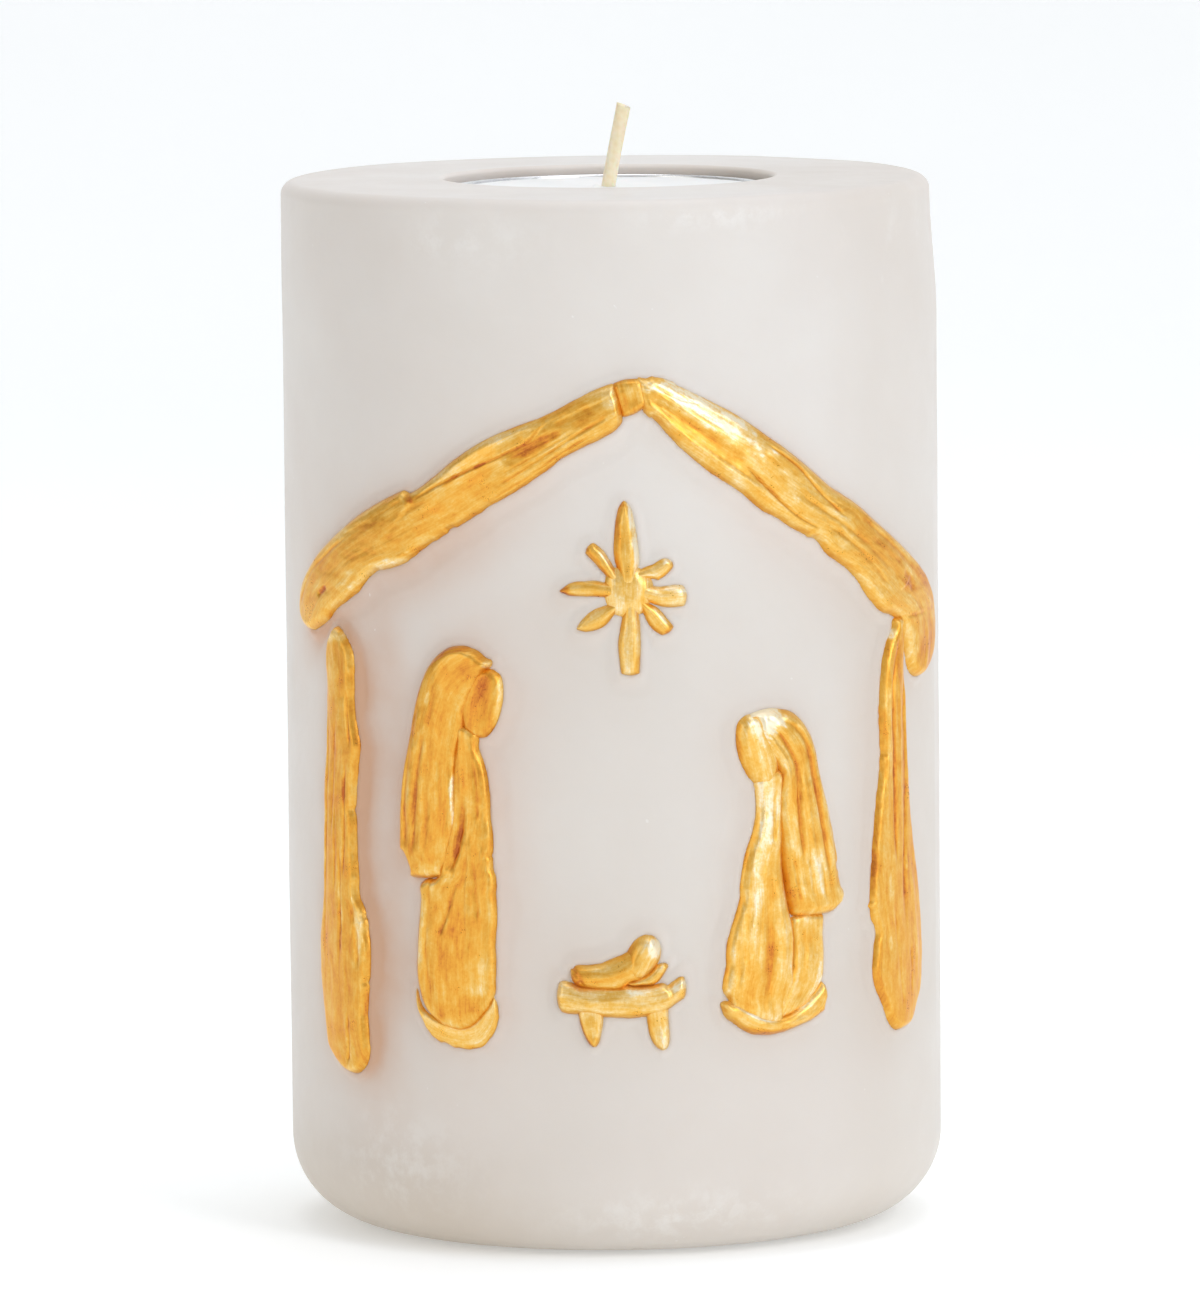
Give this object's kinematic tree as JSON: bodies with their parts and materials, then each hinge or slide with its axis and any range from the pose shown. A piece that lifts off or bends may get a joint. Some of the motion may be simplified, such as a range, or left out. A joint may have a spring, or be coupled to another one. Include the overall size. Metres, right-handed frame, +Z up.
{
  "type": "pillar candle",
  "caption": "Round ivory wax pillar with a gilded nativity relief on its front and a tea light that drops into a well in its top.",
  "frame": {"origin": "centre of the flat base, on the pillar's axis", "axes": "+Z up along the pillar's axis; the relief faces -Y; +X is to the right as the relief is seen"},
  "size_m": [0.0794, 0.0817, 0.1357],
  "materials": {
    "pillar_wax": "translucent ivory wax, satin",
    "tea_light_wax": "white wax, satin",
    "tea_light_cup": "thin drawn sheet, bright",
    "wick_tab": "tinned sheet",
    "wick_cotton": "waxed braided cotton",
    "gilding": "gilded wax, brushed by hand"
  },
  "bodies": {
    "pillar": {"wax_pillar": "pillar_wax", "left_rafter": "gilding", "ridge_wedge": "gilding", "right_rafter": "gilding", "left_post": "gilding", "right_post": "gilding", "left_figure_veil": "gilding", "left_figure_face": "gilding", "left_figure_robe": "gilding", "left_figure_hem": "gilding", "right_figure_veil": "gilding", "right_figure_face": "gilding", "right_figure_robe": "gilding", "right_figure_train": "gilding", "right_figure_hem": "gilding", "manger_bed": "gilding", "manger_left_leg": "gilding", "manger_right_leg": "gilding", "infant_body": "gilding", "infant_head": "gilding", "infant_pillow": "gilding", "star_hub": "gilding", "star_ray_top": "gilding", "star_ray_bottom": "gilding", "star_ray_left": "gilding", "star_ray_right": "gilding", "star_ray_upper_left": "gilding", "star_ray_upper_right": "gilding", "star_ray_lower_left": "gilding", "star_ray_lower_right": "gilding"},
    "tea_light": {"tea_light_cup": "tea_light_cup", "tea_light_fill": "tea_light_wax", "wick_tab": "wick_tab", "wick": "wick_cotton"}
  },
  "joints": [
    {"name": "tea_light_lift", "type": "slide", "parent": "pillar", "child": "tea_light", "axis": [0, 0, 1], "range_m": [0, 0.02]}
  ]
}
